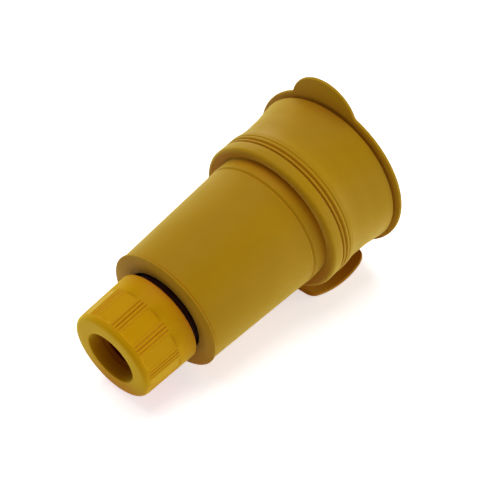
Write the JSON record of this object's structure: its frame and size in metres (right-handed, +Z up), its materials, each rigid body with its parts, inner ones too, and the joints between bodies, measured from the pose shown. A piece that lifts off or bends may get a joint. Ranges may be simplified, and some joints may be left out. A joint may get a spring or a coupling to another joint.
{
  "type": "twist-lock receptacle",
  "caption": "Watertight in-line twist-lock connector: tapered yellow rubber sleeve, round flip lid with thumb tab on a bowed strap, ribbed cable gland nut.",
  "frame": {"origin": "centre of the plug mouth, where the sleeve's front edge meets the connector's axis", "axes": "+Y towards the mating end, +Z up, +X to the right seen from the cable end. The connector is in the pose it lies in on a table, on its strap and rear shoulder, so its own axis rises 9.75 degrees above +Y towards the mouth. The connector's left and right halves are alike, so X = 0 is its middle plane."},
  "size_m": [0.0576, 0.1057, 0.0683],
  "materials": {
    "yellow_rubber": "matt moulded rubber, mustard yellow",
    "yellow_nylon": "satin moulded nylon, golden yellow",
    "black_nylon": "matt black moulded nylon",
    "ivory_nylon": "matt ivory moulded nylon",
    "brass": "stamped bare brass",
    "brass_screws": "turned bare brass",
    "steel": "zinc-plated steel",
    "black_rubber": "matt black rubber",
    "maroon_rubber": "matt dark red-brown rubber"
  },
  "bodies": {
    "connector_body": {"rubber_sleeve": "yellow_rubber", "closure_strap": "yellow_rubber", "contact_face": "ivory_nylon", "face_seal": "black_rubber", "terminal_block": "black_nylon", "line_contact": "brass", "neutral_contact": "brass", "ground_contact": "brass", "line_spring": "steel", "neutral_spring": "steel", "ground_spring": "steel", "line_clamp": "steel", "neutral_clamp": "steel", "ground_clamp": "steel", "terminal_screws": "brass_screws", "assembly_screws": "steel", "rear_housing": "black_nylon", "housing_seal": "black_rubber", "cable_grommet": "maroon_rubber"},
    "lid": {"flip_lid": "yellow_rubber"},
    "slip_ring": {"thrust_ring": "yellow_nylon"},
    "nut": {"gland_nut": "yellow_nylon"}
  },
  "joints": [
    {"name": "lid_hinge", "type": "hinge", "parent": "connector_body", "child": "lid", "pos_m": [0, 0.00462, -0.02954], "axis": [-1, 0, 0], "range_deg": [0, 95]},
    {"name": "nut_travel", "type": "slide", "parent": "connector_body", "child": "slip_ring", "axis": [0, 0.9855, 0.1694], "range_m": [-0.00201, 0.00211]},
    {"name": "nut_turn", "type": "hinge", "parent": "slip_ring", "child": "nut", "pos_m": [0, 0, 0], "axis": [0, 0.9855, 0.1694], "range_deg": [-360, 378]}
  ],
  "couplings": [
    {"joint": "nut_travel", "follows": "nut_turn", "m_per_rad": 0.00031831}
  ]
}
